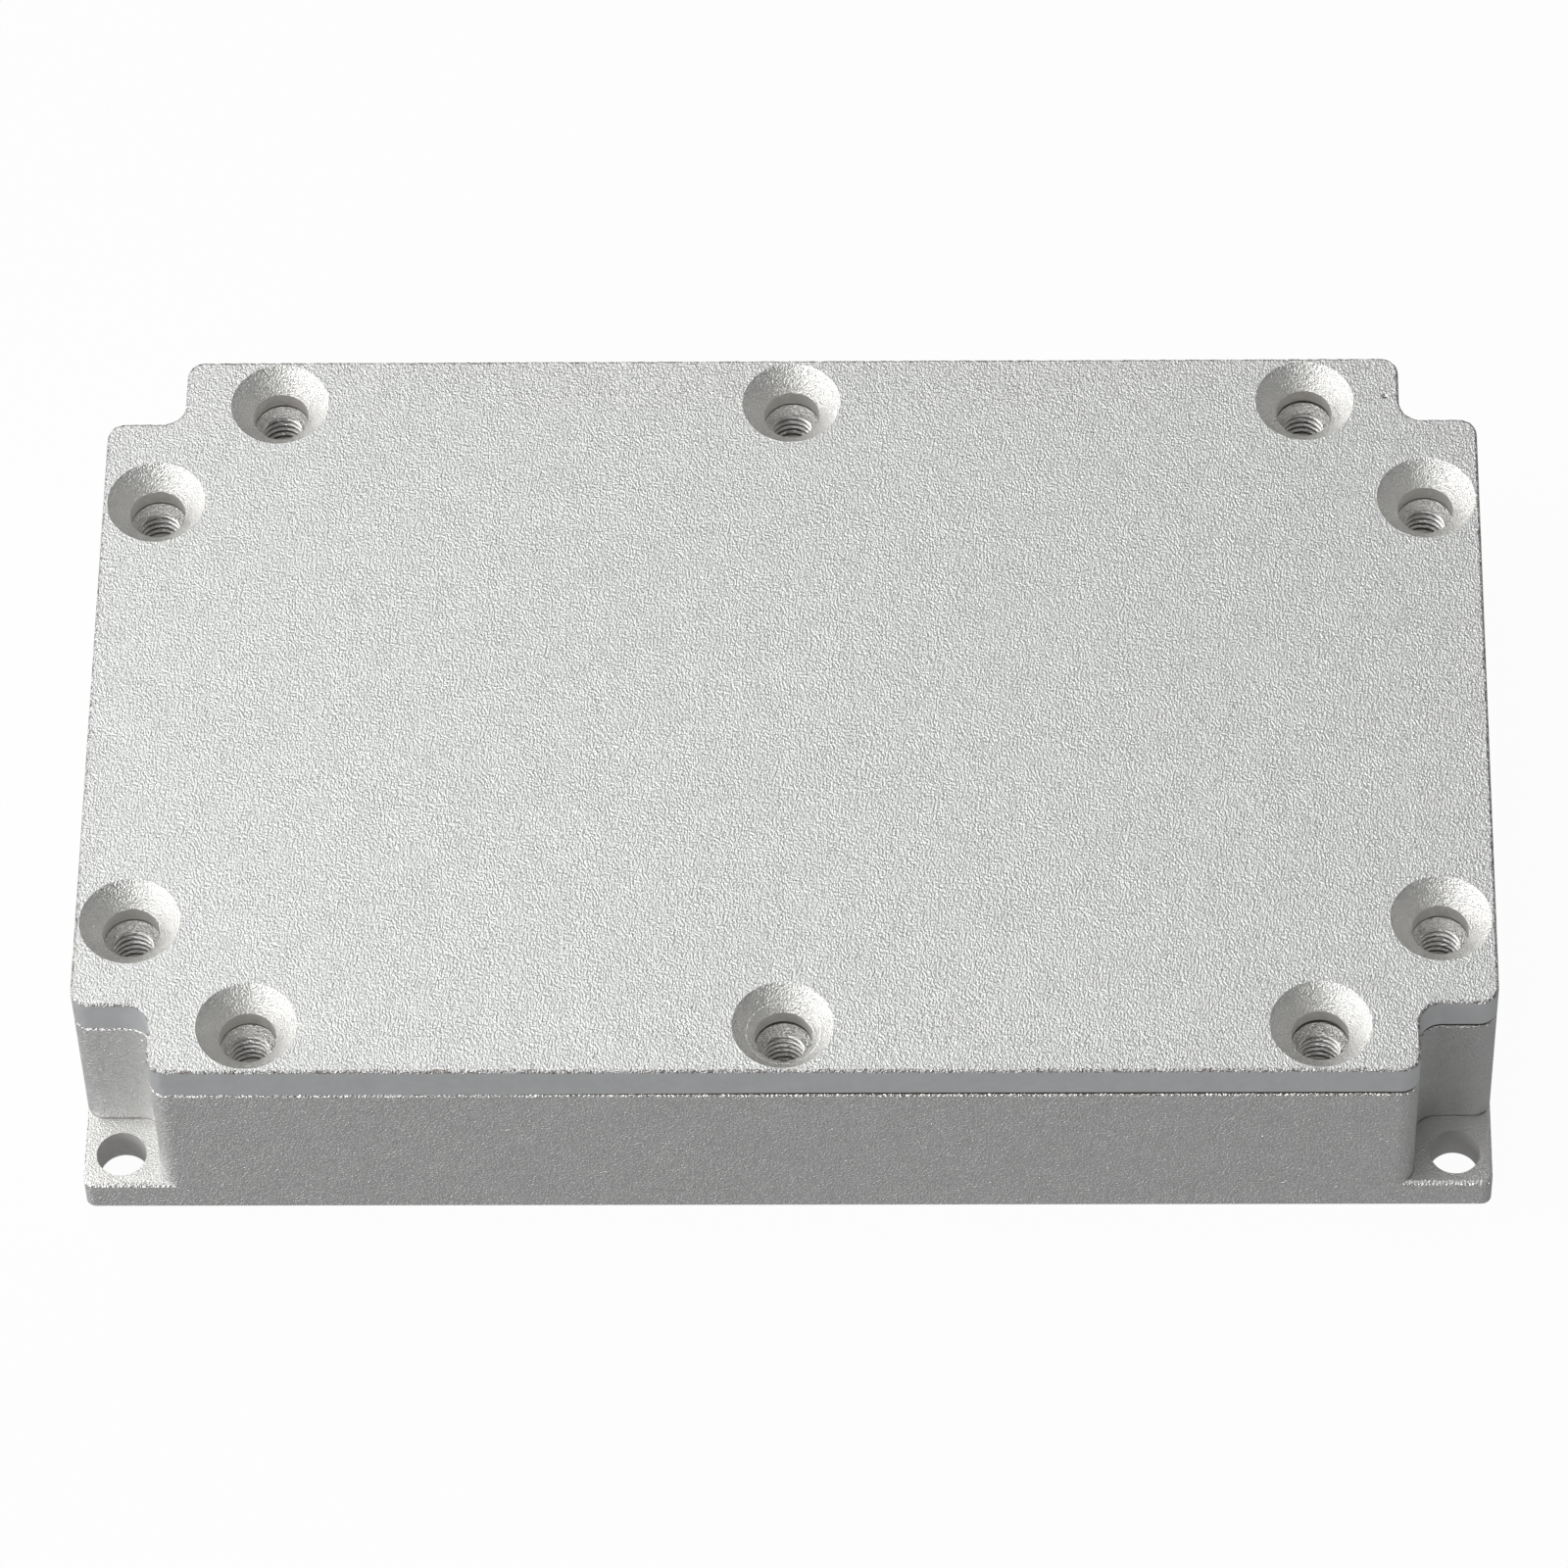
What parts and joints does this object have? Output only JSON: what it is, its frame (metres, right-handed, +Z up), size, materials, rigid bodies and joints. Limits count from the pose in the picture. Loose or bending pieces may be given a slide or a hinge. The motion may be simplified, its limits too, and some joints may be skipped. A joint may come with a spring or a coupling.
{
  "type": "shielding enclosure",
  "caption": "Flat milled aluminium shielding enclosure: a pocketed box with a mounting ear in each notched corner, closed by a notched plate lid with countersunk screw holes.",
  "frame": {"origin": "centre of the underside, on the plane that the box stands on", "axes": "+Z up through the lid, +X along the length, +Y towards the back as pictured"},
  "size_m": [0.084, 0.052, 0.015],
  "materials": {
    "box_aluminium": "fine bead-blasted and clear anodised",
    "lid_aluminium": "bead-blasted and clear anodised top, smooth milled sides"
  },
  "bodies": {
    "root": {"box": "box_aluminium", "lid": "lid_aluminium"}
  },
  "joints": []
}
